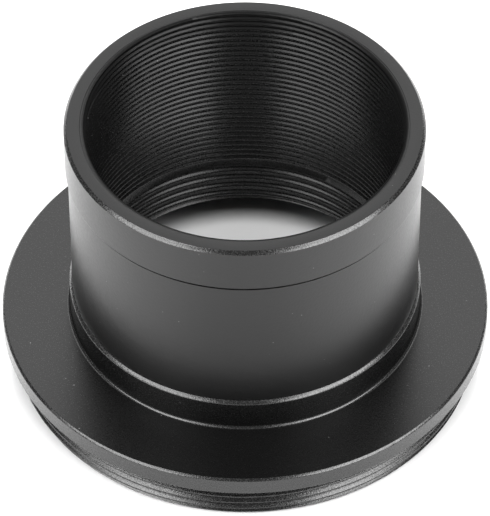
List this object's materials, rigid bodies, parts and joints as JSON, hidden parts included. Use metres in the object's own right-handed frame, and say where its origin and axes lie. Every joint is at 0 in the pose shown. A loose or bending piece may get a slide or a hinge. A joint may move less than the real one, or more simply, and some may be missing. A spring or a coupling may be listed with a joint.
{
  "type": "telescope nosepiece adapter",
  "caption": "Hollow push-in tube with a threaded bore, screwed into a flanged ring whose skirt carries a fine outer thread.",
  "frame": {"origin": "on the turned axis, in the plane of the skirt's end face, which the adapter stands on", "axes": "+Z along the turned axis from the threaded skirt to the tube's mouth; X and Y are free, because the part is round"},
  "size_m": [0.0442, 0.0442, 0.028],
  "materials": {
    "flange_ring": "turned, blasted and anodised satin black",
    "nosepiece_barrel": "finely turned and anodised satin black",
    "barrel_end_ring": "finely turned and anodised satin black"
  },
  "bodies": {
    "flange_ring": {"flange_ring": "flange_ring"},
    "nosepiece_barrel": {"nosepiece_barrel": "nosepiece_barrel"},
    "barrel_end_ring": {"barrel_end_ring": "barrel_end_ring"}
  },
  "joints": [
    {"name": "barrel_unscrews", "type": "slide", "parent": "flange_ring", "child": "nosepiece_barrel", "axis": [0, 0, 1], "range_m": [0, 0.006]},
    {"name": "end_ring_unscrews", "type": "slide", "parent": "nosepiece_barrel", "child": "barrel_end_ring", "axis": [0, 0, 1], "range_m": [0, 0.004]}
  ]
}
